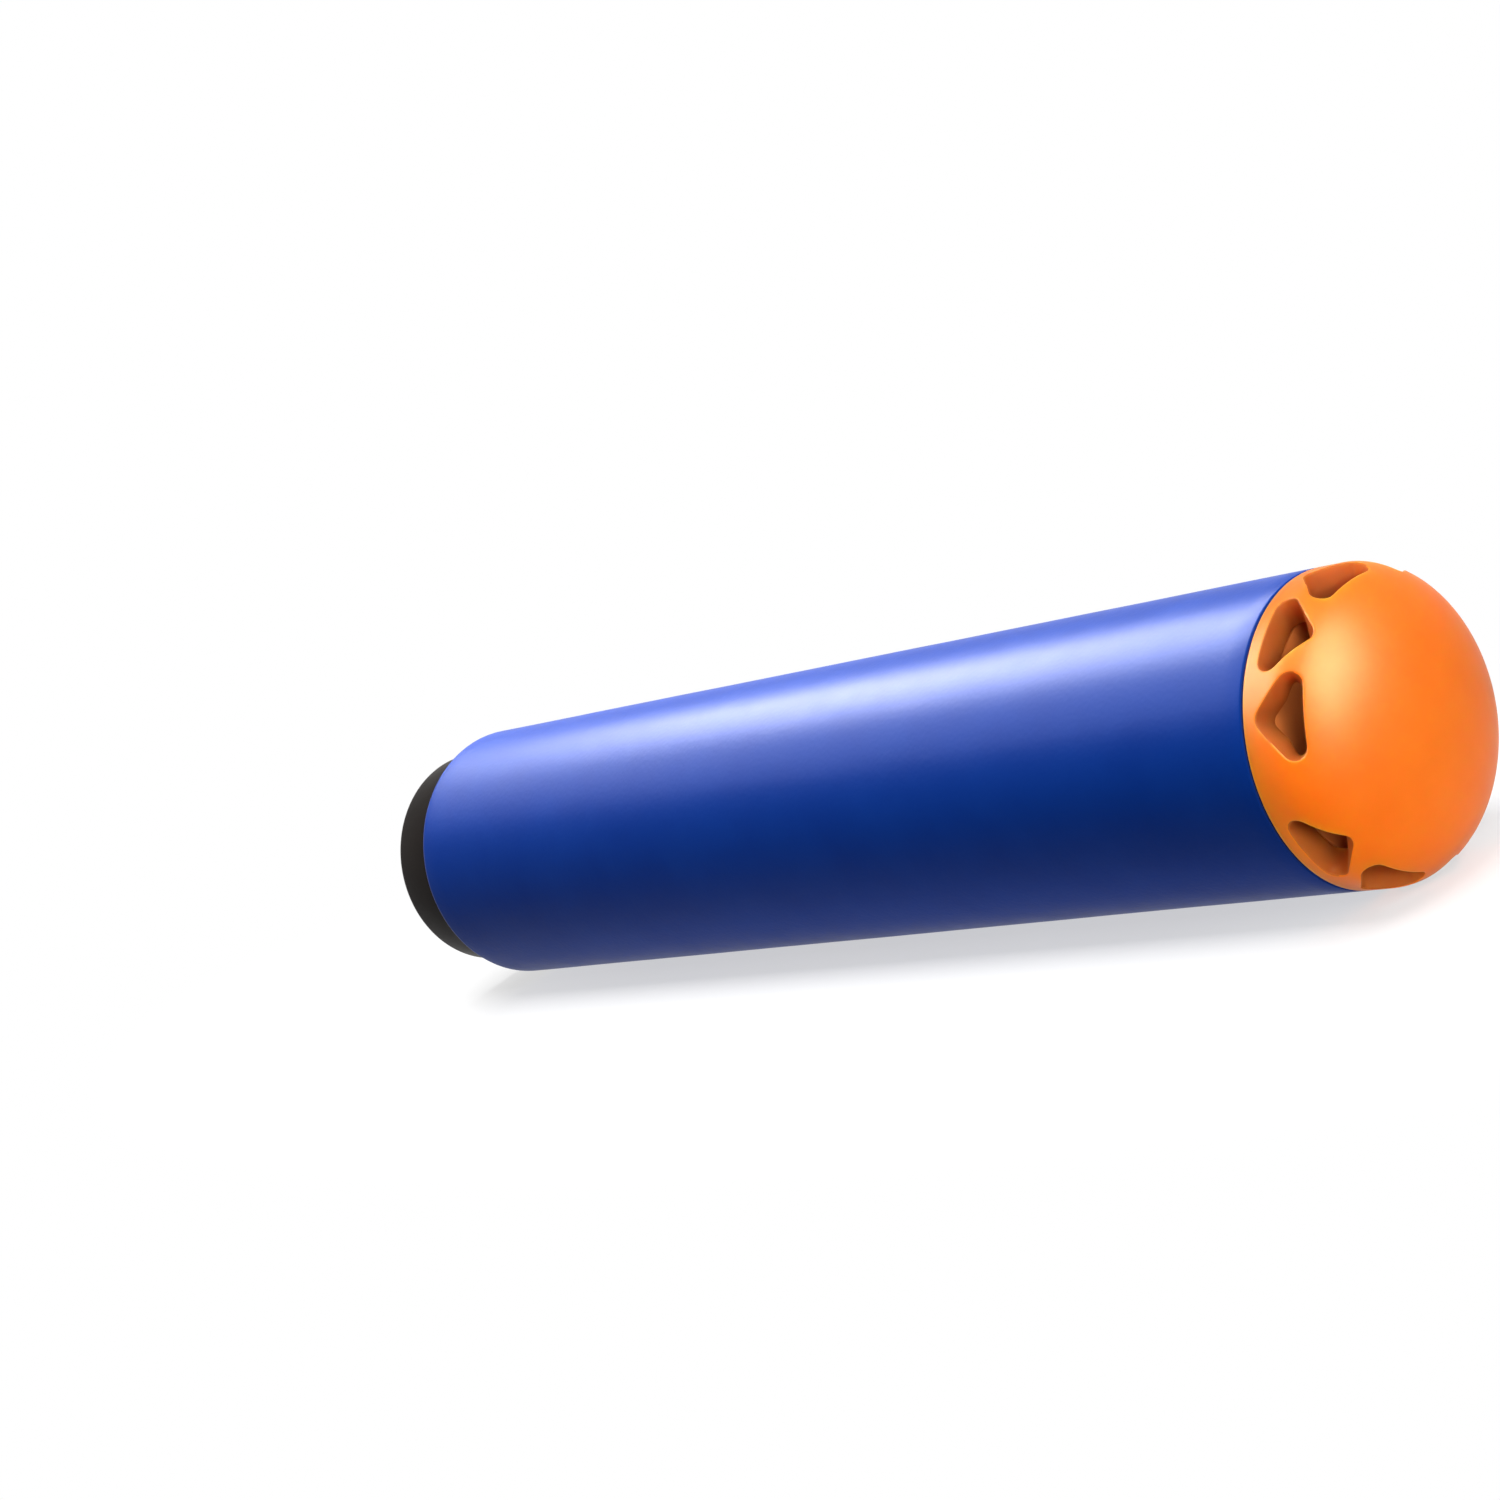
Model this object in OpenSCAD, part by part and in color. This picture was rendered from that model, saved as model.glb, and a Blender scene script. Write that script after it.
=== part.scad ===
// Foam dart with a hollow vented dome on its nose and a bush in its tail.
// Each piece is drawn standing on its tail and then laid on its side, nose along +X.

/* [Foam] */
// Outside diameter of the foam, which the dome is flush with
foam_od = 13; // [10.5:0.1:15.6]
// Length of the foam
foam_len = 56; // [30:1:80]
// Diameter of the hole through the foam
foam_bore = 7; // [6.4:0.1:8.4]
// Radius on the rear edge of the foam
foam_edge_r = 0.4; // [0.1:0.1:0.8]

/* [Tail collar] */
// Outside diameter of the collar behind the foam
collar_od = 11.2; // [9:0.1:13.4]
// How far the collar stands out of the foam
collar_len = 3.4; // [2:0.1:6]
// Radius on the rear edge of the collar
collar_edge_r = 0.4; // [0.1:0.1:0.8]
// Diameter of the hole that slides on a launching post
post_bore = 5.6; // [4.4:0.1:5.8]
// Length of the sleeve inside the foam
sleeve_len = 8; // [4:0.5:12]
// Chamfer that leads the post into the hole
mouth_chamfer = 0.5; // [0.2:0.1:0.8]

/* [Nose dome] */
// Height of the straight rim at the foot of the dome
rim_h = 1.2; // [0.4:0.1:1.4]
// Rise of the dome over its rim
dome_rise = 3.5; // [2.8:0.1:6]
// Thickness of the dome's wall
dome_wall = 1.2; // [0.8:0.1:1.6]

/* [Windows] */
// Windows in each of the two groups round the dome
group_windows = 5; // [3:2:5]
// Angle from one window to the next in a group
window_pitch = 32; // [29:0.5:38]
// Width of a window across its rounded corners
window_w = 3.4; // [2.4:0.1:3.8]
// Height of a window up the slope of the dome
window_h = 2; // [1.4:0.1:2.4]
// Radius of a window's corners
window_r = 0.5; // [0.2:0.05:0.6]
// Height of the windows' centres over the foot of the dome
window_z = 1.65; // [1.4:0.05:1.9]

/* [Nose plug] */
// Thickness of the plug's head inside the rim of the dome
head_t = 0.6; // [0.4:0.1:0.8]
// Length of the stem inside the foam
stem_len = 9; // [5:0.5:14]
// Diameter of the stem between its barbs
stem_od = 5.8; // [5:0.1:6]
// Barbs on the stem
barb_count = 4; // [2:1:6]
// Diameter of the blind hole up the stem
stem_bore = 3.6; // [2.4:0.1:4.2]
// Thickness of the stem's closed end under the head
stem_floor = 1.2; // [0.6:0.1:2]

/* [Glue] */
// Thickness of the glue films
glue_t = 0.1; // [0.05:0.05:0.2]
// How far the film on the nose stops short of the foam's edge
glue_inset = 0.2; // [0.05:0.05:0.4]
// Radial slip of the plug's head inside the dome
head_slip = 0.05; // [0.02:0.01:0.15]

/* [Hidden] */
$fn = 96;
foam_r = foam_od / 2;
// Turn of the foam's seam away from the line that the dart lies on
seam_turn = 2.25;
// What a cut runs past the face that it opens
past = 1;

// Heights of the faces over the tail
foam_z = collar_len + glue_t;
nose_z = foam_z + foam_len + glue_t;
dart_len = nose_z + rim_h + dome_rise;

// Diameters that the foam's hole sets, with a glue film round each
fitted_od = foam_bore - 2 * glue_t;
head_od = foam_od - 2 * (dome_wall + head_slip);

// Where the middle of a window lies on the dome's curve, and the slope of the surface there
window_lift = window_z - rim_h;
window_x = foam_r * sqrt(1 - pow(window_lift / dome_rise, 2));
window_slope = atan2(window_lift / pow(dome_rise, 2), window_x / pow(foam_r, 2));
// Flats along each round corner of a window
corner_steps = 7;

// Lays a dart that stands on its tail on its side, centred along X, on the plane Z = 0.
module on_its_side() {
  translate([-dart_len / 2, 0, foam_r])
    rotate([0, 90, 0])
      children();
}

// A disc of radius r and height h whose lower edge is rounded.
module round_edged_disc(r, h, edge_r) {
  rotate_extrude() {
    square([r - edge_r, h]);
    translate([0, edge_r])
      square([r, h - edge_r]);
    translate([r - edge_r, edge_r])
      circle(edge_r);
  }
}

// A ring between two radii, from z = 0 up.
module ring(r_out, r_in, h) {
  rotate_extrude()
    translate([r_in, 0])
      square([r_out - r_in, h]);
}

// The point at an angle on a circle round the origin.
function on_circle(r, angle) = r * [cos(angle), sin(angle)];

// Points along an arc round a centre, from one angle to another.
function arc(centre, r, from, to) =
  [for (step = [0:corner_steps]) centre + on_circle(r, from + (to - from) * step / corner_steps)];

// Half an ellipsoid on a straight foot, drawn in by inset all round.
module domed(inset, foot) {
  r = foam_r - inset;
  translate([0, 0, -foot])
    cylinder(r = r, h = foot);
  intersection() {
    scale([1, 1, (dome_rise - inset) / r])
      sphere(r);
    translate([0, 0, foam_r])
      cube(2 * foam_r + past, center = true);
  }
}

// A window's outline: a triangle with round corners and its tip up.
module window_outline() {
  half_w = window_w / 2 - window_r;
  half_h = window_h / 2 - window_r;
  side = atan2(half_w, 2 * half_h);
  polygon(concat(
    arc([-half_w, -half_h], window_r, 180 - side, 270),
    arc([half_w, -half_h], window_r, -90, side),
    arc([0, half_h], window_r, side, 180 - side)
  ));
}

// One window's cut through the wall of the dome, square to its surface.
module window_cut(turn) {
  translate([window_x, 0, window_lift])
    rotate([0, -window_slope, 0])
      translate([-dome_wall - past, 0, 0])
        rotate([90, 0, 90])
          linear_extrude(dome_wall + 2 * past)
            rotate(turn)
              window_outline();
}

// The ring of windows: two groups, centred above and below, whose tips point up and down by turns.
module window_ring() {
  for (group = [0, 1], place = [0:group_windows - 1])
    rotate(180 * (group + 1) + (place - (group_windows - 1) / 2) * window_pitch)
      window_cut(180 * ((group + place + 1) % 2));
}

module tail_collar() {
  color([0.09, 0.08, 0.08])
    on_its_side()
      difference() {
        union() {
          round_edged_disc(collar_od / 2, collar_len, collar_edge_r);
          cylinder(d = fitted_od, h = collar_len + sleeve_len);
        }
        translate([0, 0, -past])
          cylinder(d = post_bore, h = collar_len + sleeve_len + 2 * past);
        translate([0, 0, -past])
          cylinder(
            d1 = post_bore + 2 * (mouth_chamfer + past),
            d2 = post_bore,
            h = mouth_chamfer + past
          );
      }
}

module tail_glue() {
  color([0.86, 0.83, 0.74])
    on_its_side()
      translate([0, 0, collar_len]) {
        ring(min(collar_od, foam_od) / 2 - glue_inset, fitted_od / 2, glue_t);
        ring(foam_bore / 2, fitted_od / 2, sleeve_len);
      }
}

module foam_body() {
  color([0.05, 0.22, 0.62])
    on_its_side()
      translate([0, 0, foam_z])
        rotate(seam_turn)
          difference() {
            round_edged_disc(foam_r, foam_len, foam_edge_r);
            translate([0, 0, -past])
              cylinder(d = foam_bore, h = foam_len + 2 * past);
          }
}

module nose_glue() {
  color([0.86, 0.83, 0.74])
    on_its_side()
      translate([0, 0, nose_z]) {
        translate([0, 0, -glue_t])
          ring(foam_r - glue_inset, fitted_od / 2, glue_t);
        translate([0, 0, -stem_len])
          ring(foam_bore / 2, fitted_od / 2, stem_len);
      }
}

module nose_plug() {
  barb_h = (stem_len - glue_t) / barb_count;
  color([0.86, 0.36, 0.06])
    on_its_side()
      translate([0, 0, nose_z])
        difference() {
          union() {
            cylinder(d = head_od, h = head_t);
            translate([0, 0, -stem_len])
              cylinder(d = stem_od, h = stem_len);
            for (barb = [0:barb_count - 1])
              translate([0, 0, barb * barb_h - stem_len])
                cylinder(d1 = stem_od, d2 = fitted_od, h = barb_h);
          }
          translate([0, 0, -stem_len - past])
            cylinder(d = stem_bore, h = stem_len + past + head_t - stem_floor);
        }
}

module nose_dome() {
  color([0.96, 0.47, 0.07])
    on_its_side()
      translate([0, 0, nose_z + rim_h])
        difference() {
          domed(0, rim_h);
          domed(dome_wall, rim_h + past);
          window_ring();
        }
}

tail_collar();
tail_glue();
foam_body();
nose_glue();
nose_plug();
nose_dome();
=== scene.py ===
"""A toy foam dart on its side: foam tube, vented nose dome, plug, glue seams and tail collar."""
import logging
import math
from abc import ABC, abstractmethod
from collections.abc import Callable, Iterator
from contextlib import contextmanager
from dataclasses import dataclass, field
from enum import Enum
from itertools import pairwise
from typing import Any, NamedTuple

import bmesh
import bpy
from mathutils import Matrix, Vector


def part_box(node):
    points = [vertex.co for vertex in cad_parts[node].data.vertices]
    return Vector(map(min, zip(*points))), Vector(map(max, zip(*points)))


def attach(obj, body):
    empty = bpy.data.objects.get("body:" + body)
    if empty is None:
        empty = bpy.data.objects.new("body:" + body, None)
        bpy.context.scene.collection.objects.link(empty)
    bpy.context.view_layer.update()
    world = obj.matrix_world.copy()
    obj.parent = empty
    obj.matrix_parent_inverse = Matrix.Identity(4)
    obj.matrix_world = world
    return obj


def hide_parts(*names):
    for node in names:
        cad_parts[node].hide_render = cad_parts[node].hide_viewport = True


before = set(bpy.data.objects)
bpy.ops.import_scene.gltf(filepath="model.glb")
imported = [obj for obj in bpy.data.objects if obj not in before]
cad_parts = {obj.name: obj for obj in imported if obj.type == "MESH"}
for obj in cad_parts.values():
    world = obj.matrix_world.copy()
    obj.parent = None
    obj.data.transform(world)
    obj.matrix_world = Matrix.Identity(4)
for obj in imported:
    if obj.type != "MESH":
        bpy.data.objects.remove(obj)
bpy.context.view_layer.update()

LOG = logging.getLogger("foam_dart")
MM = 0.001
# Distance under which two vertices are one
TINY = 0.0005 * MM
# Slack for finding the vertices of a ring by their place
NEAR = 10 * TINY
# Flats round a turned piece
AROUND = 160
# Flats along an arc of a window's outline
ARC_STEPS = 12
# An edge that bends more than this is a sharp one
SHARP = math.radians(40)
# Shares of the reach that red, green and blue light spreads under soft rubber, and the reach
GLOW_SPREAD = (1.0, 0.35, 0.10)
GLOW_REACH = 5 * MM
# Waves per metre of a finish's drift in tone and in gloss
TONE_WAVES = 260.0
GLOSS_WAVES = 900.0

Colour = tuple[float, float, float]
Point2 = tuple[float, float]


class Ring(NamedTuple):
    """A corner of a turned piece's section: its place along the axis and its radius."""

    x: float
    radius: float


@dataclass(frozen=True)
class Span:
    """How far a CAD node reaches along the dart's axis and out from it."""

    rear: float
    front: float
    radius: float

    @classmethod
    def of(cls, node: str) -> "Span":
        """Reads a node's span from its box."""
        low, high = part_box(node)
        return cls(low.x, high.x, (high.z - low.z) / 2)


def axis_height() -> float:
    """Gives the height of the dart's axis over the plane that it lies on."""
    low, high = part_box("foam_body")
    return (low.z + high.z) / 2


AXIS_Z = axis_height()


def round_axis(x: float, radius: float, turn: float) -> Vector:
    """Gives the point at a place along the axis, a radius and an angle from the top towards -Y."""
    return Vector((x, -radius * math.sin(turn), AXIS_Z + radius * math.cos(turn)))


def radius_of(point: Vector) -> float:
    """Gives a point's distance from the dart's axis."""
    return math.hypot(point.y, point.z - AXIS_Z)


@contextmanager
def editing(piece: bpy.types.Object) -> Iterator[None]:
    """Opens a piece in edit mode with nothing selected, and leaves edit mode at the end.

    Args:
        piece: The mesh object to edit.
    """
    bpy.ops.object.select_all(action="DESELECT")
    piece.select_set(True)
    bpy.context.view_layer.objects.active = piece
    bpy.ops.object.mode_set(mode="EDIT")
    bpy.ops.mesh.select_mode(type="VERT")
    bpy.ops.mesh.select_all(action="DESELECT")
    yield
    bpy.ops.object.mode_set(mode="OBJECT")


def select_edges(piece: bpy.types.Object, wanted: Callable[[bmesh.types.BMEdge], bool]) -> None:
    """Selects edges of the piece being edited, and nothing else.

    Args:
        piece: The mesh object in edit mode.
        wanted: Tells whether an edge is to be selected.
    """
    bpy.ops.mesh.select_mode(type="EDGE")
    bpy.ops.mesh.select_all(action="DESELECT")
    mesh = bmesh.from_edit_mesh(piece.data)
    for edge in mesh.edges:
        if wanted(edge):
            edge.select_set(True)
    bmesh.update_edit_mesh(piece.data)


def close_up(piece: bpy.types.Object) -> None:
    """Merges doubles and turns all faces outwards.

    Args:
        piece: The mesh object to clean.
    """
    with editing(piece):
        bpy.ops.mesh.select_all(action="SELECT")
        bpy.ops.mesh.remove_doubles(threshold=TINY)
        bpy.ops.mesh.select_all(action="SELECT")
        bpy.ops.mesh.normals_make_consistent(inside=False)


def apply_modifier(piece: bpy.types.Object, kind: str, **settings: Any) -> None:
    """Adds a modifier to a piece and applies it.

    Args:
        piece: The mesh object to change.
        kind: The modifier's type.
        settings: The modifier's settings by name.
    """
    modifier = piece.modifiers.new(kind.title(), kind)
    for key, value in settings.items():
        setattr(modifier, key, value)
    bpy.ops.object.select_all(action="DESELECT")
    piece.select_set(True)
    bpy.context.view_layer.objects.active = piece
    bpy.ops.object.modifier_apply(modifier=modifier.name)


def soften_edges(piece: bpy.types.Object, width: float, segments: int) -> None:
    """Rounds every sharp edge of a piece a little.

    Args:
        piece: The mesh object to change.
        width: Width of the rounding.
        segments: Flats across the rounding.
    """
    apply_modifier(
        piece,
        "BEVEL",
        width=width,
        segments=segments,
        limit_method="ANGLE",
        angle_limit=SHARP,
        harden_normals=False,
    )


def smooth_shade(piece: bpy.types.Object) -> None:
    """Shades a piece smoothly except across its sharp edges.

    Args:
        piece: The mesh object to shade.
    """
    bpy.ops.object.select_all(action="DESELECT")
    piece.select_set(True)
    bpy.context.view_layer.objects.active = piece
    bpy.ops.object.shade_smooth_by_angle(angle=SHARP)


def turn_piece(name: str, rings: list[Ring], joined: bool) -> bpy.types.Object:
    """Turns a round piece by extruding a circle from one ring of its section to the next.

    Args:
        name: Name of the new piece.
        rings: Corners of the section, in order.
        joined: True joins the last ring to the first, and False closes both with a face.

    Returns:
        The new piece.
    """
    bpy.ops.object.select_all(action="DESELECT")
    start = rings[0]
    bpy.ops.mesh.primitive_circle_add(
        vertices=AROUND,
        radius=start.radius,
        location=(start.x, 0, AXIS_Z),
        rotation=(0, math.pi / 2, 0),
    )
    piece = bpy.context.object
    piece.name = piece.data.name = name
    bpy.ops.object.transform_apply(location=True, rotation=True, scale=True)
    with editing(piece):
        bpy.ops.mesh.select_all(action="SELECT")
        for here, there in pairwise(rings):
            step = {"value": (there.x - here.x, 0, 0)}
            bpy.ops.mesh.extrude_edges_move(TRANSFORM_OT_translate=step)
            ratio = there.radius / here.radius
            centre = (there.x, 0, AXIS_Z)
            bpy.ops.transform.resize(value=(1, ratio, ratio), center_override=centre)
        select_edges(piece, lambda edge: edge.is_boundary)
        if joined:
            bpy.ops.mesh.bridge_edge_loops()
        else:
            bpy.ops.mesh.fill_holes(sides=0)
    close_up(piece)
    return piece


def round_ring(piece: bpy.types.Object, ring: Ring, width: float, segments: int) -> None:
    """Rounds the edge of a turned piece at one ring of its section.

    Args:
        piece: The turned piece.
        ring: The ring whose edge is rounded.
        width: Width of the rounding.
        segments: Flats across the rounding.
    """

    def on_ring(vertex: bmesh.types.BMVert) -> bool:
        """Tells whether a vertex lies on the ring."""
        off_x = abs(vertex.co.x - ring.x)
        return max(off_x, abs(radius_of(vertex.co) - ring.radius)) < NEAR

    with editing(piece):
        select_edges(piece, lambda edge: all(on_ring(vertex) for vertex in edge.verts))
        bpy.ops.mesh.bevel(offset=width, segments=segments, affect="EDGES")


@dataclass
class NodeSheet:
    """A node tree, with short ways to place nodes and link them."""

    tree: bpy.types.NodeTree

    def place(
        self, kind: str, sockets: dict[str, Any] | None = None, **settings: Any
    ) -> bpy.types.Node:
        """Places a node.

        Args:
            kind: The node's type.
            sockets: Values of its input sockets by name.
            settings: The node's own settings by name.

        Returns:
            The new node.
        """
        node = self.tree.nodes.new(kind)
        for key, value in settings.items():
            setattr(node, key, value)
        for key, value in (sockets or {}).items():
            node.inputs[key].default_value = value
        return node

    def link(self, source: bpy.types.NodeSocket, target: bpy.types.NodeSocket) -> None:
        """Links an output socket to an input socket."""
        self.tree.links.new(source, target)


class Effect(ABC):
    """A surface effect that several finishes share, as a node group that is built once."""

    name: str
    inputs: dict[str, str]
    outputs: dict[str, str]

    def group(self) -> bpy.types.NodeTree:
        """Gives the effect's node group, and builds it the first time.

        Returns:
            The node group.
        """
        found = bpy.data.node_groups.get(self.name)
        if found:
            return found
        tree = bpy.data.node_groups.new(self.name, "ShaderNodeTree")
        for way, sockets in (("INPUT", self.inputs), ("OUTPUT", self.outputs)):
            for socket, kind in sockets.items():
                tree.interface.new_socket(socket, in_out=way, socket_type=kind)
        sheet = NodeSheet(tree)
        self.fill(sheet, sheet.place("NodeGroupInput"), sheet.place("NodeGroupOutput"))
        return tree

    @abstractmethod
    def fill(self, sheet: NodeSheet, given: bpy.types.Node, made: bpy.types.Node) -> None:
        """Places the group's nodes.

        Args:
            sheet: The group's node tree.
            given: The group's input node.
            made: The group's output node.
        """

    def use(self, sheet: NodeSheet, sockets: dict[str, float]) -> bpy.types.Node:
        """Places the effect in a material, on Object coordinates.

        Args:
            sheet: The material's node tree.
            sockets: Values of the effect's inputs.

        Returns:
            The group node.
        """
        place = sheet.place("ShaderNodeTexCoord")
        node = sheet.place("ShaderNodeGroup", node_tree=self.group())
        for key, value in sockets.items():
            node.inputs[key].default_value = value
        sheet.link(place.outputs["Object"], node.inputs["Vector"])
        return node


class MouldedGrain(Effect):
    """The fine uneven skin that a mould leaves on rubber and plastic."""

    name = "moulded_grain"
    inputs = {"Vector": "NodeSocketVector", "Scale": "NodeSocketFloat"}
    outputs = {"Height": "NodeSocketFloat"}

    def fill(self, sheet: NodeSheet, given: bpy.types.Node, made: bpy.types.Node) -> None:
        """Mixes a fine noise with soft cells.

        Args:
            sheet: The group's node tree.
            given: The group's input node.
            made: The group's output node.
        """
        noise = sheet.place("ShaderNodeTexNoise", {"Detail": 4.0, "Roughness": 0.55})
        cells = sheet.place("ShaderNodeTexVoronoi", {"Smoothness": 0.6}, feature="SMOOTH_F1")
        mix = sheet.place("ShaderNodeMix", {"Factor": 0.4})
        for texture in (noise, cells):
            sheet.link(given.outputs["Vector"], texture.inputs["Vector"])
            sheet.link(given.outputs["Scale"], texture.inputs["Scale"])
        sheet.link(noise.outputs["Fac"], mix.inputs["A"])
        sheet.link(cells.outputs["Distance"], mix.inputs["B"])
        sheet.link(mix.outputs["Result"], made.inputs["Height"])


class ToneDrift(Effect):
    """A slow change from place to place, between two values."""

    name = "tone_drift"
    inputs = {
        "Vector": "NodeSocketVector",
        "Scale": "NodeSocketFloat",
        "Low": "NodeSocketFloat",
        "High": "NodeSocketFloat",
    }
    outputs = {"Value": "NodeSocketFloat"}

    def fill(self, sheet: NodeSheet, given: bpy.types.Node, made: bpy.types.Node) -> None:
        """Spreads a soft noise between the two values.

        Args:
            sheet: The group's node tree.
            given: The group's input node.
            made: The group's output node.
        """
        noise = sheet.place("ShaderNodeTexNoise", {"Detail": 3.0, "Roughness": 0.6})
        spread = sheet.place("ShaderNodeMapRange", {"From Min": 0.3, "From Max": 0.7})
        sheet.link(given.outputs["Vector"], noise.inputs["Vector"])
        sheet.link(given.outputs["Scale"], noise.inputs["Scale"])
        sheet.link(noise.outputs["Fac"], spread.inputs["Value"])
        sheet.link(given.outputs["Low"], spread.inputs["To Min"])
        sheet.link(given.outputs["High"], spread.inputs["To Max"])
        sheet.link(spread.outputs["Result"], made.inputs["Value"])


@dataclass(frozen=True)
class Finish(ABC):
    """What a surface looks like: two tones that drift into each other, a gloss and a skin."""

    name: str
    deep: Colour
    bright: Colour
    roughness: tuple[float, float]
    specular: float
    tint: Colour
    bump: float
    glow_through: float

    @abstractmethod
    def skin(self, sheet: NodeSheet) -> bpy.types.NodeSocket:
        """Places the nodes of the surface's fine shape.

        Args:
            sheet: The material's node tree.

        Returns:
            The socket that gives the height.
        """

    def material(self) -> bpy.types.Material:
        """Makes the finish's material.

        Returns:
            The material.
        """
        material = bpy.data.materials.new(self.name)
        material.use_nodes = True
        sheet = NodeSheet(material.node_tree)
        surface = material.node_tree.nodes["Principled BSDF"]
        surface.inputs["Specular IOR Level"].default_value = self.specular
        surface.inputs["Specular Tint"].default_value = (*self.tint, 1.0)
        surface.inputs["Subsurface Weight"].default_value = self.glow_through
        surface.inputs["Subsurface Radius"].default_value = GLOW_SPREAD
        surface.inputs["Subsurface Scale"].default_value = GLOW_REACH
        tone = ToneDrift().use(sheet, {"Scale": TONE_WAVES, "Low": 0.0, "High": 1.0})
        colour = sheet.place("ShaderNodeMix", data_type="RGBA")
        colour.inputs["A"].default_value = (*self.deep, 1.0)
        colour.inputs["B"].default_value = (*self.bright, 1.0)
        sheet.link(tone.outputs["Value"], colour.inputs["Factor"])
        sheet.link(colour.outputs["Result"], surface.inputs["Base Color"])
        low, high = self.roughness
        gloss = ToneDrift().use(sheet, {"Scale": GLOSS_WAVES, "Low": low, "High": high})
        sheet.link(gloss.outputs["Value"], surface.inputs["Roughness"])
        bump = sheet.place("ShaderNodeBump", {"Strength": 1.0, "Distance": self.bump})
        sheet.link(self.skin(sheet), bump.inputs["Height"])
        sheet.link(bump.outputs["Normal"], surface.inputs["Normal"])
        return material


@dataclass(frozen=True)
class MouldedFinish(Finish):
    """The finish of a moulded piece."""

    grain: float

    def skin(self, sheet: NodeSheet) -> bpy.types.NodeSocket:
        """Gives the height of the mould's grain."""
        return MouldedGrain().use(sheet, {"Scale": self.grain}).outputs["Height"]


@dataclass(frozen=True)
class FoamFinish(Finish):
    """The finish of closed-cell foam, whose cells show as shallow pits."""

    cells: float

    def skin(self, sheet: NodeSheet) -> bpy.types.NodeSocket:
        """Gives the height of the foam's cells.

        Args:
            sheet: The material's node tree.

        Returns:
            The socket that gives the height.
        """
        place = sheet.place("ShaderNodeTexCoord")
        cells = sheet.place("ShaderNodeTexVoronoi", {"Scale": self.cells}, feature="SMOOTH_F1")
        sheet.link(place.outputs["Object"], cells.inputs["Vector"])
        return cells.outputs["Distance"]


# Tint of a gleam that keeps its lamp's colour
PLAIN: Colour = (1.0, 1.0, 1.0)

FOAM_SKIN = FoamFinish(
    "foam_skin",
    deep=(0.002, 0.036, 0.285),
    bright=(0.003, 0.042, 0.312),
    roughness=(0.30, 0.34),
    specular=0.03,
    tint=(0.90, 1.0, 0.94),
    bump=0.004 * MM,
    glow_through=0.0,
    cells=5200.0,
)
FOAM_CUT = FoamFinish(
    "foam_cut",
    deep=(0.008, 0.034, 0.26),
    bright=(0.016, 0.060, 0.38),
    roughness=(0.6, 0.75),
    specular=0.2,
    tint=PLAIN,
    bump=0.03 * MM,
    glow_through=0.0,
    cells=3200.0,
)
DOME_RUBBER = MouldedFinish(
    "dome_rubber",
    deep=(0.80, 0.130, 0.003),
    bright=(0.84, 0.150, 0.005),
    roughness=(0.40, 0.44),
    specular=0.12,
    tint=(1.0, 1.0, 0.52),
    bump=0.002 * MM,
    glow_through=0.6,
    grain=5000.0,
)
# The dome's own rubber darkened with painted shade, for the dome's inner faces and the walls of its
# windows, so that the windows look shaded inside
DOME_RUBBER_PAINTED_SHADE = MouldedFinish(
    "dome_rubber_painted_shade",
    deep=(0.37, 0.082, 0.013),
    bright=(0.42, 0.094, 0.016),
    roughness=(0.55, 0.65),
    specular=0.015,
    tint=PLAIN,
    bump=0.004 * MM,
    glow_through=0.5,
    grain=4000.0,
)
PLUG_RUBBER = MouldedFinish(
    "plug_rubber",
    deep=(0.58, 0.165, 0.036),
    bright=(0.64, 0.185, 0.042),
    roughness=(0.5, 0.6),
    specular=0.06,
    tint=PLAIN,
    bump=0.004 * MM,
    glow_through=0.0,
    grain=4000.0,
)
COLLAR_PLASTIC = MouldedFinish(
    "collar_plastic",
    deep=(0.0110, 0.0085, 0.0075),
    bright=(0.0160, 0.0125, 0.0110),
    roughness=(0.38, 0.46),
    specular=0.06,
    tint=PLAIN,
    bump=0.004 * MM,
    glow_through=0.0,
    grain=3000.0,
)
GLUE = MouldedFinish(
    "glue",
    deep=(0.62, 0.55, 0.46),
    bright=(0.72, 0.66, 0.56),
    roughness=(0.3, 0.4),
    specular=0.5,
    tint=PLAIN,
    bump=0.006 * MM,
    glow_through=0.0,
    grain=2400.0,
)


def hand_over(piece: bpy.types.Object, node: str) -> None:
    """Lets a finished piece stand for its CAD node.

    Args:
        piece: The finished piece.
        node: The CAD node that it stands for.
    """
    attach(piece, "root")
    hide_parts(node)
    piece.data.calc_loop_triangles()
    LOG.info("%s stands for %s, %d triangles", piece.name, node, len(piece.data.loop_triangles))


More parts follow.
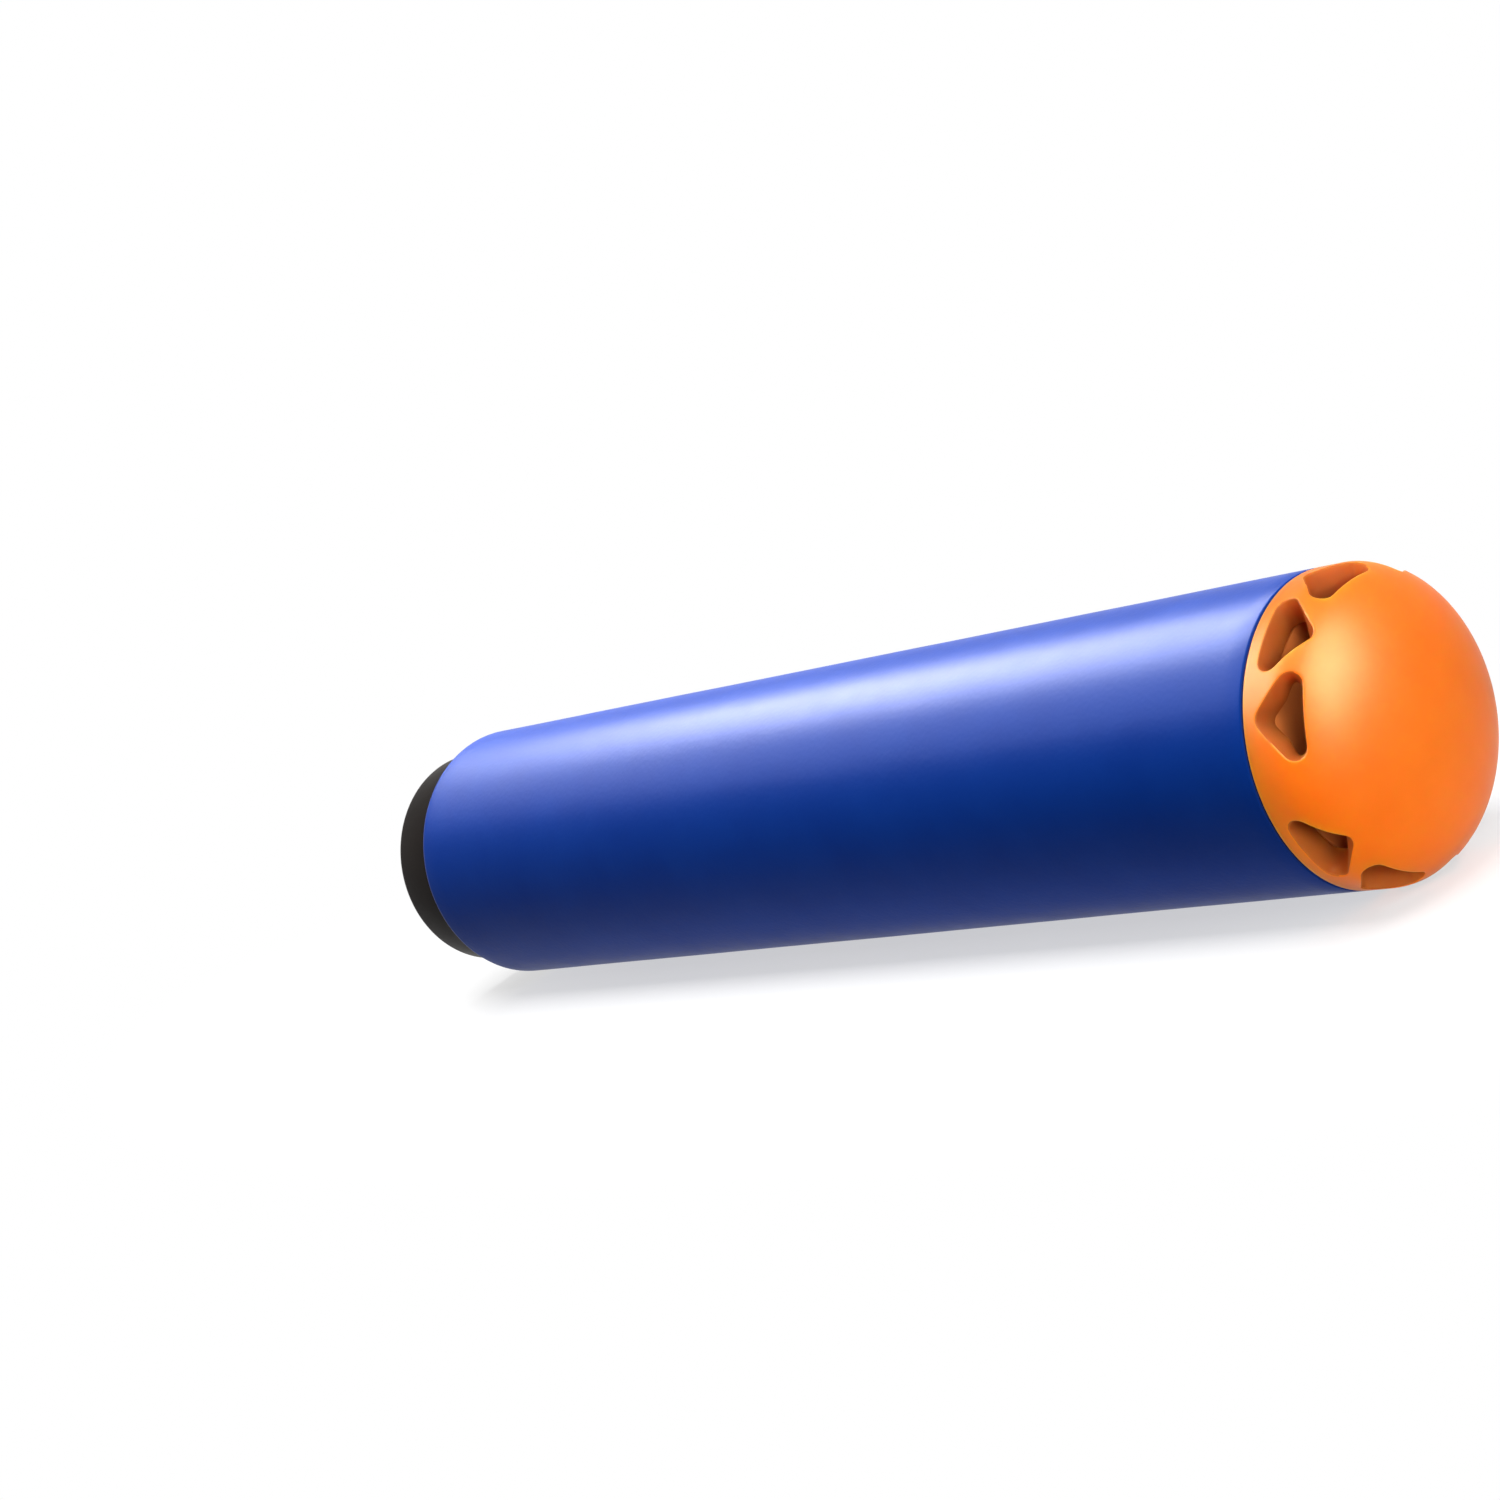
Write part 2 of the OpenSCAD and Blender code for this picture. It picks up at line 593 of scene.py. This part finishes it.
@dataclass
class FoamTube:
    """The soft tube that is the body of the dart."""

    bore: float = 3.5 * MM
    rear_edge: float = 0.4 * MM
    front_edge: float = 0.08 * MM
    # Flats across the rounding of each edge
    rear_flats: int = 8
    front_flats: int = 3
    bore_flats: int = 2
    length_cuts: int = 60
    # How much the skin swells and sinks, and the size of one swelling
    swell: float = 0.03 * MM
    swell_size: float = 7 * MM
    # A face is cut foam where its normal leans this far along the axis
    end_lean: float = 0.9

    def build(self) -> bpy.types.Object:
        """Turns the tube, rounds its edges and lets its skin swell and sink a little.

        Returns:
            The tube.
        """
        span = Span.of("foam_body")
        outside = [Ring(span.rear, span.radius), Ring(span.front, span.radius)]
        inside = [Ring(span.front, self.bore), Ring(span.rear, self.bore)]
        tube = turn_piece("foam_tube", outside + inside, joined=True)
        round_ring(tube, outside[0], self.rear_edge, self.rear_flats)
        round_ring(tube, outside[1], self.front_edge, self.front_flats)
        for mouth in inside:
            round_ring(tube, mouth, self.front_edge, self.bore_flats)
        half = (span.front - span.rear) / 2
        with editing(tube):
            select_edges(tube, lambda edge: edge.calc_length() > half)
            bpy.ops.mesh.subdivide(number_cuts=self.length_cuts)
        self.swell_skin(tube, span)
        close_up(tube)
        smooth_shade(tube)
        return tube

    def swell_skin(self, tube: bpy.types.Object, span: Span) -> None:
        """Lifts and lowers the outer skin by a soft noise.

        Args:
            tube: The tube.
            span: Where the tube lies.
        """
        skin = tube.vertex_groups.new(name="skin")
        outer = [
            vertex.index
            for vertex in tube.data.vertices
            if radius_of(vertex.co) > span.radius - TINY
        ]
        skin.add(outer, 1.0, "REPLACE")
        clouds = bpy.data.textures.new("foam_swell", "CLOUDS")
        clouds.noise_scale = self.swell_size
        apply_modifier(
            tube,
            "DISPLACE",
            texture=clouds,
            texture_coords="LOCAL",
            strength=self.swell,
            mid_level=0.5,
            vertex_group="skin",
        )
        tube.vertex_groups.clear()

    def dress(self, tube: bpy.types.Object) -> None:
        """Gives the tube its skin, and its two ends the look of cut foam.

        Args:
            tube: The tube.
        """
        tube.data.materials.append(FOAM_SKIN.material())
        tube.data.materials.append(FOAM_CUT.material())
        for face in tube.data.polygons:
            face.material_index = int(abs(face.normal.x) > self.end_lean)
        hand_over(tube, "foam_body")


class Tip(Enum):
    """Which way a window's tip points: towards the crown of the dome or towards the foam."""

    UP = 1
    DOWN = -1


@dataclass(frozen=True)
class Window:
    """One window of the dome: its angle round the axis, its tip and its first column of faces."""

    turn: float
    tip: Tip
    column: int


def arc(centre: Point2, radius: float, start: float, end: float) -> list[Point2]:
    """Gives points along an arc.

    Args:
        centre: Middle of the arc.
        radius: Radius of the arc.
        start: Angle of its first point.
        end: Angle of its last point.

    Returns:
        The points, in order.
    """
    x, y = centre
    angles = [start + (end - start) * step / ARC_STEPS for step in range(ARC_STEPS + 1)]
    return [(x + radius * math.cos(angle), y + radius * math.sin(angle)) for angle in angles]


def share_out(path: list[Point2], count: int) -> list[Point2]:
    """Spreads points evenly along a path, from its first point up to but without its last.

    Args:
        path: The path's points.
        count: How many points to give.

    Returns:
        The points, in order.
    """
    lengths = [math.dist(a, b) for a, b in pairwise(path)]
    shared = []
    for index in range(count):
        left = sum(lengths) * index / count
        step = 0
        while left > lengths[step]:
            left -= lengths[step]
            step += 1
        part = left / lengths[step] if lengths[step] else 0.0
        a, b = path[step], path[step + 1]
        shared.append((a[0] + (b[0] - a[0]) * part, a[1] + (b[1] - a[1]) * part))
    return shared


@dataclass
class VentedDome:
    """The hollow dome on the nose, with two groups of triangular windows round its foot."""

    rim: float = 1.2 * MM
    wall: float = 1.2 * MM
    group_windows: int = 5
    pitch: float = math.radians(32)
    window_width: float = 3.4 * MM
    window_height: float = 2.0 * MM
    window_corner: float = 0.5 * MM
    window_lift: float = 1.65 * MM
    # Width of the band of faces that follows each window's outline
    band: float = 0.13 * MM
    # Rounding of the windows' edges, and the flats across it
    window_edge: float = 0.09 * MM
    edge_flats: int = 3
    # Faces across and up a window, across half the rib beside it, and over half a plain land
    across: int = 16
    up: int = 10
    half_rib: int = 2
    half_land: int = 6
    # Rows of faces under the windows and over them
    rows_below: int = 3
    rows_above: int = 26
    # How strongly and how often the rows round the windows are eased
    ease: float = 0.5
    ease_rounds: int = 150
    # Steps that bring a point of an outline down on the dome
    drop_steps: int = 12
    foot: float = field(init=False)
    radius: float = field(init=False)
    rise: float = field(init=False)

    def __post_init__(self) -> None:
        """Reads where the dome lies from its CAD node."""
        span = Span.of("nose_dome")
        self.foot = span.rear
        self.radius = span.radius
        self.rise = span.front - span.rear - self.rim

    @property
    def sector(self) -> int:
        """Columns of faces from the middle of one rib to the middle of the next."""
        return self.across + 2 * self.half_rib

    @property
    def columns(self) -> int:
        """Columns of faces round the dome."""
        return 2 * (self.group_windows * self.sector + 2 * self.half_land)

    @property
    def rows(self) -> int:
        """Rows of faces from the foot to the crown."""
        return self.rows_below + self.up + self.rows_above

    def windows(self) -> list[Window]:
        """Lists the windows: a group above and a group below, with tips up and down by turns.

        Returns:
            The windows, in order round the dome.
        """
        listed = []
        for group in range(2):
            first = group * self.columns // 2 + self.half_land + self.half_rib
            for place in range(self.group_windows):
                turn = math.pi * group + (place - (self.group_windows - 1) / 2) * self.pitch
                tip = Tip.UP if (group + place) % 2 else Tip.DOWN
                listed.append(Window(turn, tip, first + place * self.sector))
        return listed

    def column_turn(self, column: int) -> float:
        """Gives the angle of a line between columns, with even columns in a group and in a land.

        Args:
            column: Number of the line.

        Returns:
            The angle round the axis.
        """
        half, within = divmod(column, self.columns // 2)
        group = self.group_windows * self.pitch
        land = (math.pi - group) / 2
        inside = within - self.half_land
        wide = self.group_windows * self.sector
        if inside < 0:
            offset = land * within / self.half_land
        elif inside <= wide:
            offset = land + group * inside / wide
        else:
            offset = land + group + land * (inside - wide) / self.half_land
        return math.pi * (half - 0.5) + offset

    def row_height(self, row: int) -> float:
        """Gives the way up the dome's curve of a line between rows.

        Args:
            row: Number of the line.

        Returns:
            The way up the curve from the foot.
        """
        crown = self.rim + self.rise * math.pi / 2
        low = self.window_lift - self.window_height / 2 - self.band
        high = self.window_lift + self.window_height / 2 + self.band
        if row <= self.rows_below:
            return low * row / self.rows_below
        if row <= self.rows_below + self.up:
            return low + (high - low) * (row - self.rows_below) / self.up
        return high + (crown - high) * (row - self.rows_below - self.up) / self.rows_above

    def curve(self, way: float) -> Ring:
        """Gives the dome's section at a way up its curve: a straight rim, then a quarter ellipse.

        Args:
            way: The way up the curve from the foot.

        Returns:
            The place along the axis and the radius there.
        """
        if way < self.rim:
            return Ring(self.foot + way, self.radius)
        angle = (way - self.rim) / self.rise
        height = self.rim + self.rise * math.sin(angle)
        return Ring(self.foot + height, self.radius * math.cos(angle))

    def on_sheet(self, window: Window, point: Point2) -> Vector:
        """Drops a point of a window's outline on the dome, square to it at the window's middle.

        Args:
            window: The window.
            point: The point, across the window and up the slope.

        Returns:
            Its place on the flat sheet that the dome is rolled up from.
        """
        across, up = point
        lift = (self.window_lift - self.rim) / self.rise
        middle = self.radius * math.sqrt(1 - lift * lift)
        slope = math.atan2(lift / self.rise, middle / self.radius**2)
        depth = 0.0
        for _ in range(self.drop_steps):
            out = middle - up * math.sin(slope) + depth * math.cos(slope)
            height = self.window_lift + up * math.cos(slope) + depth * math.sin(slope)
            over = max(0.0, (height - self.rim) / self.rise)
            depth += self.radius * math.sqrt(1 - over * over) - math.hypot(out, across)
        way = height if height < self.rim else self.rim + self.rise * math.asin(over)
        turn = window.turn + math.atan2(across, out)
        return Vector((turn * self.radius, way, 0))

    def outline(self, window: Window, grow: float) -> list[Vector]:
        """Spreads points along a window's outline, in step with the loop of its block of faces.

        Args:
            window: The window.
            grow: How far outside the outline the points lie.

        Returns:
            The points on the flat sheet: the base from left to right, then back round the tip.
        """
        wide = self.window_width / 2 - self.window_corner
        high = self.window_height / 2 - self.window_corner
        radius = self.window_corner + grow
        side = math.atan2(wide, 2 * high)
        right, left, top = (wide, -high), (-wide, -high), (0.0, high)
        right_mid = (side - math.pi / 2) / 2
        left_mid = math.pi - right_mid
        down = math.pi * 1.5
        base = arc(left, radius, left_mid, down) + arc(right, radius, -math.pi / 2, right_mid)
        sides = arc(right, radius, right_mid, side) + arc(top, radius, side, math.pi - side)
        sides += arc(left, radius, math.pi - side, left_mid)
        points = share_out(base, self.across) + share_out(sides, self.across + 2 * self.up)
        return [self.on_sheet(window, (x, y * window.tip.value)) for x, y in points]

    def loop(self, window: Window) -> list[tuple[int, int]]:
        """Lists the lines of columns and rows round a window's block of faces, base first.

        Args:
            window: The window.

        Returns:
            The crossings, in the order that the outline's points have.
        """
        left, right = window.column, window.column + self.across
        low, high = self.rows_below, self.rows_below + self.up
        near, far = (low, high) if window.tip is Tip.UP else (high, low)
        climb = window.tip.value
        base = [(column, near) for column in range(left, right)]
        rise = [(right, row) for row in range(near, far, climb)]
        back = [(column, far) for column in range(right, left, -1)]
        fall = [(left, row) for row in range(far, near, -climb)]
        return base + rise + back + fall

    def build(self) -> bpy.types.Object:
        """Cuts the windows in a flat sheet, rolls it up to the dome and gives it its wall.

        Returns:
            The dome.
        """
        dome = self.lay_sheet()
        self.edge_windows(dome)
        self.roll_up(dome)
        close_up(dome)
        # The inner faces and the windows' walls take the second slot, the dome's rubber darkened
        # with painted shade
        apply_modifier(
            dome,
            "SOLIDIFY",
            thickness=self.wall,
            offset=-1.0,
            use_even_offset=True,
            material_offset=1,
            material_offset_rim=1,
        )
        soften_edges(dome, self.window_edge, self.edge_flats)
        smooth_shade(dome)
        return dome

    def lay_sheet(self) -> bpy.types.Object:
        """Lays a flat sheet of faces, opens it at each window and eases the rows round the holes.

        Returns:
            The sheet, with its columns along X and its rows along Y.
        """
        bpy.ops.object.select_all(action="DESELECT")
        bpy.ops.mesh.primitive_grid_add(
            x_subdivisions=self.columns, y_subdivisions=self.rows, size=1
        )
        sheet = bpy.context.object
        sheet.name = sheet.data.name = "vented_dome"
        sheet.data.materials.append(DOME_RUBBER.material())
        # The second slot is the dome's rubber darkened with painted shade, for the inner faces that
        # the wall gives
        sheet.data.materials.append(DOME_RUBBER_PAINTED_SHADE.material())
        outlines = {}
        blocks = set()
        for window in self.windows():
            outlines.update(zip(self.loop(window), self.outline(window, self.band)))
            for column in range(window.column, window.column + self.across):
                blocks.update((column, self.rows_below + row) for row in range(self.up))

        def crossing(point: Vector) -> Point2:
            """Gives the numbers of the lines that a point of the new sheet lies between."""
            return (point.x + 0.5) * self.columns, (point.y + 0.5) * self.rows

        with editing(sheet):
            bpy.ops.mesh.select_mode(type="FACE")
            mesh = bmesh.from_edit_mesh(sheet.data)
            for face in mesh.faces:
                column, row = crossing(face.calc_center_median())
                face.select_set((int(column), int(row)) in blocks)
            bpy.ops.mesh.delete(type="FACE")
            bpy.ops.mesh.select_mode(type="VERT")
            mesh = bmesh.from_edit_mesh(sheet.data)
            for vertex in mesh.verts:
                column, row = (round(number) for number in crossing(vertex.co))
                plain = Vector((self.column_turn(column) * self.radius, self.row_height(row), 0))
                vertex.co = outlines.get((column, row), plain)
                vertex.select_set(not vertex.is_boundary)
            bmesh.update_edit_mesh(sheet.data)
            bpy.ops.mesh.vertices_smooth(factor=self.ease, repeat=self.ease_rounds)
        return sheet

    def edge_windows(self, sheet: bpy.types.Object) -> None:
        """Extrudes each opening's edge inwards, to the outline of its window.

        Args:
            sheet: The flat sheet.
        """
        inner = {}
        for window in self.windows():
            for outer, edge in zip(self.outline(window, self.band), self.outline(window, 0.0)):
                inner[self.spot(outer)] = edge
        with editing(sheet):
            select_edges(
                sheet,
                lambda edge: edge.is_boundary and all(self.spot(v.co) in inner for v in edge.verts),
            )
            bpy.ops.mesh.extrude_edges_move()
            mesh = bmesh.from_edit_mesh(sheet.data)
            for vertex in mesh.verts:
                if vertex.select:
                    vertex.co = inner[self.spot(vertex.co)]
            bmesh.update_edit_mesh(sheet.data)

    @staticmethod
    def spot(point: Vector) -> tuple[int, int]:
        """Names a place on the sheet by whole steps of the merging distance."""
        return round(point.x / TINY), round(point.y / TINY)

    def roll_up(self, sheet: bpy.types.Object) -> None:
        """Rolls the flat sheet up round the axis, to the dome's curve.

        Args:
            sheet: The flat sheet.
        """
        with editing(sheet):
            mesh = bmesh.from_edit_mesh(sheet.data)
            for vertex in mesh.verts:
                ring = self.curve(vertex.co.y)
                vertex.co = round_axis(ring.x, ring.radius, vertex.co.x / self.radius)
            bmesh.update_edit_mesh(sheet.data)

    def dress(self, dome: bpy.types.Object) -> None:
        """Lets the dome, which got its rubber and a copy of it darkened with painted shade as it
        was made, stand for its node.
        """
        hand_over(dome, "nose_dome")


@dataclass
class NosePlug:
    """The plug that closes the foam's front end, with a head under the dome and a barbed stem."""

    head: float = 0.6 * MM
    stem: float = 2.9 * MM
    barb: float = 3.4 * MM
    barbs: int = 4
    bore: float = 1.8 * MM
    floor: float = 1.2 * MM
    glue: float = 0.1 * MM
    # Radius of the small flat that closes each end in the middle
    pip: float = 0.1 * MM
    edge: float = 0.04 * MM
    edge_flats: int = 2

    def build(self) -> bpy.types.Object:
        """Turns the plug and softens its edges.

        Returns:
            The plug.
        """
        span = Span.of("nose_plug")
        neck = span.front - self.head
        step = (neck - span.rear - self.glue) / self.barbs
        rings = [Ring(span.front, self.pip), Ring(span.front, span.radius), Ring(neck, span.radius)]
        rings += [Ring(neck, self.stem), Ring(neck - self.glue, self.stem)]
        for number in range(self.barbs):
            front = neck - self.glue - number * step
            rings += [Ring(front, self.barb), Ring(front - step, self.stem)]
        end = span.front - self.floor
        rings += [Ring(span.rear, self.bore), Ring(end, self.bore), Ring(end, self.pip)]
        plug = turn_piece("nose_plug_body", rings, joined=False)
        soften_edges(plug, self.edge, self.edge_flats)
        smooth_shade(plug)
        return plug

    def dress(self, plug: bpy.types.Object) -> None:
        """Gives the plug its rubber."""
        plug.data.materials.append(PLUG_RUBBER.material())
        hand_over(plug, "nose_plug")


@dataclass
class TailCollar:
    """The black bush in the tail: a round-edged collar on a sleeve with a hole through both."""

    length: float = 3.4 * MM
    sleeve: float = 3.4 * MM
    bore: float = 2.8 * MM
    chamfer: float = 0.5 * MM
    rear_edge: float = 0.4 * MM
    rear_flats: int = 8
    edge: float = 0.06 * MM
    edge_flats: int = 2

    def build(self) -> bpy.types.Object:
        """Turns the collar and rounds its edges.

        Returns:
            The collar.
        """
        span = Span.of("tail_collar")
        seat = span.rear + self.length
        corner = Ring(span.rear, span.radius)
        rings = [Ring(span.rear, self.bore + self.chamfer), corner, Ring(seat, span.radius)]
        rings += [Ring(seat, self.sleeve), Ring(span.front, self.sleeve)]
        rings += [Ring(span.front, self.bore), Ring(span.rear + self.chamfer, self.bore)]
        collar = turn_piece("tail_bush", rings, joined=True)
        round_ring(collar, corner, self.rear_edge, self.rear_flats)
        soften_edges(collar, self.edge, self.edge_flats)
        smooth_shade(collar)
        return collar

    def dress(self, collar: bpy.types.Object) -> None:
        """Gives the collar its plastic."""
        collar.data.materials.append(COLLAR_PLASTIC.material())
        hand_over(collar, "tail_collar")


@dataclass
class GlueSeam:
    """A film of glue: a flat ring between two faces, and a sleeve in the foam's hole."""

    name: str
    node: str
    face_rear: float
    face_front: float
    inner: float = 3.4 * MM
    outer: float = 3.5 * MM
    bead: float = 0.03 * MM
    bead_flats: int = 2

    def build(self) -> bpy.types.Object:
        """Turns the film and rounds the bead along its edge.

        Returns:
            The film.
        """
        span = Span.of(self.node)
        face = [Ring(self.face_rear, span.radius), Ring(self.face_front, span.radius)]
        if self.face_rear > span.rear + TINY:
            rings = [Ring(span.rear, self.inner), Ring(span.rear, self.outer)]
            rings += [Ring(self.face_rear, self.outer), *face, Ring(span.front, self.inner)]
        else:
            rings = [Ring(span.rear, self.inner), *face, Ring(self.face_front, self.outer)]
            rings += [Ring(span.front, self.outer), Ring(span.front, self.inner)]
        film = turn_piece(self.name, rings, joined=True)
        for edge in face:
            round_ring(film, edge, self.bead, self.bead_flats)
        smooth_shade(film)
        return film

    def dress(self, film: bpy.types.Object) -> None:
        """Gives the film the look of set glue."""
        film.data.materials.append(GLUE.material())
        hand_over(film, self.node)


def looking(location: Vector, aim: Vector, side: Vector) -> Matrix:
    """Turns a lamp towards a point.

    Args:
        location: Where the lamp is.
        aim: The point that it looks at.
        side: The direction that its width lies along as far as it can.

    Returns:
        The lamp's place and turn.
    """
    back = (location - aim).normalized()
    up = back.cross(side).normalized()
    right = up.cross(back)
    turn = Matrix((right, up, back)).transposed()
    return Matrix.Translation(location) @ turn.to_4x4()


class Duty(Enum):
    """What a lamp does: it lights and gleams, or only shows as a gleam, or only lights."""

    LIGHT = 1
    GLEAM = 2
    FILL = 3


# Pieces that a flagged lamp reaches
FOAM = ("foam_tube",)
DOME = ("vented_dome",)
NOSE = ("vented_dome", "nose_plug_body")


@dataclass(frozen=True)
class Softbox:
    """A soft lamp of the studio, in millimetres."""

    name: str
    location: tuple[float, float, float]
    aim: tuple[float, float, float]
    width: float
    height: float
    radiance: float
    duty: Duty = Duty.LIGHT
    # The pieces that flags round the lamp let it reach, or none where it has no flags
    only_on: tuple[str, ...] = ()

    def build(self) -> bpy.types.Object:
        """Hangs the lamp.

        Returns:
            The lamp.
        """
        lamp = bpy.data.lights.new(self.name, "AREA")
        lamp.shape = "RECTANGLE"
        lamp.size = self.width * MM
        lamp.size_y = self.height * MM
        lamp.energy = self.radiance * math.pi * lamp.size * lamp.size_y
        holder = bpy.data.objects.new(self.name, lamp)
        bpy.context.collection.objects.link(holder)
        location, aim = Vector(self.location) * MM, Vector(self.aim) * MM
        holder.matrix_world = looking(location, aim, Vector((1, 0, 0)))
        holder.visible_diffuse = self.duty is not Duty.GLEAM
        holder.visible_glossy = self.duty is not Duty.FILL
        if self.only_on:
            holder.light_linking.receiver_collection = self.reach()
        return holder

    def reach(self) -> bpy.types.Collection:
        """Gathers the pieces that the flags round the lamp let it reach.

        Returns:
            The collection that holds the pieces.
        """
        reached = bpy.data.collections.new(f"{self.name}_reach")
        for piece in self.only_on:
            reached.objects.link(bpy.data.objects[piece])
        return reached


@dataclass
class Studio:
    """The pale floor, the white surroundings and the lamps."""

    floor_half: float = 3.0
    floor_colour: float = 0.40
    # The floor's own glow near the dart and far from it, each as a light and as it is seen
    floor_near: tuple[float, float] = (0.26, 0.58)
    floor_far: tuple[float, float] = (0.0, 1.0)
    # Where near ends and far begins, on an oval that is long along the dart
    floor_fade: tuple[float, float] = (6 * MM, 26 * MM)
    floor_oval: tuple[float, float, float] = (0.35, 1.0, 1.0)
    # The surroundings as a light
    ambient: float = 0.0
    lamps: tuple[Softbox, ...] = (
        Softbox("foam_gleam", (-104, 40, 152), (-104, 0, 6), 170, 94, 39.0, Duty.GLEAM, FOAM),
        Softbox("foam_sheen", (-128, -15, 152), (-128, -15, 6), 220, 280, 16.5, Duty.GLEAM, FOAM),
        Softbox("dome_gleam", (360, -20, 250), (30, 0, 6), 320, 320, 70.0, Duty.GLEAM, DOME),
        Softbox("dome_sheen", (-128, -80, 152), (-128, -80, 6), 220, 180, 34.0, Duty.GLEAM, DOME),
        Softbox("top_key", (20, -50, 420), (0, 0, 6), 260, 260, 10.5),
        Softbox("nose_key", (345, -130, 225), (30, 0, 6), 300, 300, 3.2),
        Softbox("nose_fill", (420, -180, 70), (30, 0, 6), 300, 130, 12.0, Duty.LIGHT, NOSE),
        Softbox("back_fill", (-230, 370, 170), (0, 0, 6), 320, 220, 6.0, Duty.FILL),
        Softbox("rim_fill", (-80, -380, 60), (30, 0, 6), 260, 160, 5.0, Duty.FILL, DOME),
    )

    def build(self) -> None:
        """Lays the floor, lights the surroundings and hangs the lamps."""
        self.lay_floor()
        self.light_surroundings()
        for lamp in self.lamps:
            lamp.build()

    def lay_floor(self) -> None:
        """Lays a wide pale floor that fades to white far from the dart."""
        bpy.ops.object.select_all(action="DESELECT")
        bpy.ops.mesh.primitive_plane_add(size=2 * self.floor_half)
        floor = bpy.context.object
        floor.name = floor.data.name = "floor"
        material = bpy.data.materials.new("pale_floor")
        material.use_nodes = True
        nodes = material.node_tree.nodes
        nodes.clear()
        sheet = NodeSheet(material.node_tree)
        place = sheet.place("ShaderNodeTexCoord")
        oval = sheet.place("ShaderNodeMapping", {"Scale": self.floor_oval})
        away = sheet.place("ShaderNodeVectorMath", operation="LENGTH")
        start, end = self.floor_fade
        fade = sheet.place("ShaderNodeMapRange", {"From Min": start, "From Max": end})
        fade.interpolation_type = "SMOOTHSTEP"
        matt = sheet.place("ShaderNodeBsdfDiffuse", {"Color": (self.floor_colour,) * 3 + (1.0,)})
        glow = sheet.place("ShaderNodeEmission")
        near = sheet.place("ShaderNodeAddShader")
        far = sheet.place("ShaderNodeEmission")
        mix = sheet.place("ShaderNodeMixShader")
        out = sheet.place("ShaderNodeOutputMaterial")
        sheet.link(self.when_seen(sheet, *self.floor_near), glow.inputs["Strength"])
        sheet.link(self.when_seen(sheet, *self.floor_far), far.inputs["Strength"])
        sheet.link(place.outputs["Object"], oval.inputs["Vector"])
        sheet.link(oval.outputs["Vector"], away.inputs[0])
        sheet.link(away.outputs["Value"], fade.inputs["Value"])
        sheet.link(fade.outputs["Result"], mix.inputs["Fac"])
        sheet.link(matt.outputs["BSDF"], near.inputs[0])
        sheet.link(glow.outputs["Emission"], near.inputs[1])
        sheet.link(near.outputs["Shader"], mix.inputs[1])
        sheet.link(far.outputs["Emission"], mix.inputs[2])
        sheet.link(mix.outputs["Shader"], out.inputs["Surface"])
        floor.data.materials.append(material)

    def light_surroundings(self) -> None:
        """Makes the surroundings white to look at, and dim as a light."""
        world = bpy.data.worlds.new("surroundings")
        world.use_nodes = True
        bpy.context.scene.world = world
        sheet = NodeSheet(world.node_tree)
        ground = world.node_tree.nodes["Background"]
        ground.inputs["Color"].default_value = (1.0, 1.0, 1.0, 1.0)
        sheet.link(self.when_seen(sheet, self.ambient, 1.0), ground.inputs["Strength"])

    @staticmethod
    def when_seen(sheet: NodeSheet, lighting: float, seen: float) -> bpy.types.NodeSocket:
        """Gives one strength as a light and another to the eye and in mirrors and glass.

        Args:
            sheet: The node tree to place the nodes in.
            lighting: Strength as a light on matt surfaces.
            seen: Strength as it is looked at.

        Returns:
            The socket that gives the strength.
        """
        path = sheet.place("ShaderNodeLightPath")
        direct = sheet.place("ShaderNodeMath", operation="MAXIMUM")
        any_way = sheet.place("ShaderNodeMath", operation="MAXIMUM")
        strength = sheet.place("ShaderNodeMapRange", {"To Min": lighting, "To Max": seen})
        sheet.link(path.outputs["Is Camera Ray"], direct.inputs[0])
        sheet.link(path.outputs["Is Glossy Ray"], direct.inputs[1])
        sheet.link(direct.outputs["Value"], any_way.inputs[0])
        sheet.link(path.outputs["Is Transmission Ray"], any_way.inputs[1])
        sheet.link(any_way.outputs["Value"], strength.inputs["Value"])
        return strength.outputs["Result"]


@dataclass(frozen=True)
class ViewCamera:
    """The camera at the photograph's viewing angle, with its place in millimetres."""

    lens: float = 72.737
    sensor: float = 36.0
    nearest: float = 1.0
    location: tuple[float, float, float] = (103.077, -91.381, 37.975)
    azimuth: float = math.radians(50.446)
    elevation: float = math.radians(11.086)
    roll: float = math.radians(22.972)

    def build(self) -> bpy.types.Object:
        """Sets the camera up.

        Returns:
            The camera.
        """
        data = bpy.data.cameras.new("view")
        data.lens = self.lens
        data.sensor_width = self.sensor
        data.clip_start = self.nearest * MM
        camera = bpy.data.objects.new("view", data)
        bpy.context.collection.objects.link(camera)
        level = math.cos(self.elevation)
        back = Vector((
            math.sin(self.azimuth) * level,
            -math.cos(self.azimuth) * level,
            math.sin(self.elevation),
        ))
        side = Vector((math.cos(self.azimuth), math.sin(self.azimuth), 0.0))
        rise = back.cross(side)
        right = side * math.cos(self.roll) - rise * math.sin(self.roll)
        up = rise * math.cos(self.roll) + side * math.sin(self.roll)
        turn = Matrix((right, up, back)).transposed()
        camera.matrix_world = Matrix.Translation(Vector(self.location) * MM) @ turn.to_4x4()
        bpy.context.scene.camera = camera
        return camera


def main() -> None:
    """Builds the dart, its studio and its camera."""
    logging.basicConfig(level=logging.INFO, format="%(message)s")
    bpy.context.scene.view_settings.view_transform = "Standard"
    foam = Span.of("foam_body")
    dome = Span.of("nose_dome")
    collar = TailCollar()
    seat = Span.of("tail_collar").rear + collar.length
    parts = (
        FoamTube(),
        VentedDome(),
        NosePlug(),
        collar,
        GlueSeam("nose_glue_film", "nose_glue", foam.front, dome.rear),
        GlueSeam("tail_glue_film", "tail_glue", seat, foam.rear),
    )
    for part in parts:
        part.dress(part.build())
    Studio().build()
    ViewCamera().build()


if __name__ == "__main__":
    main()
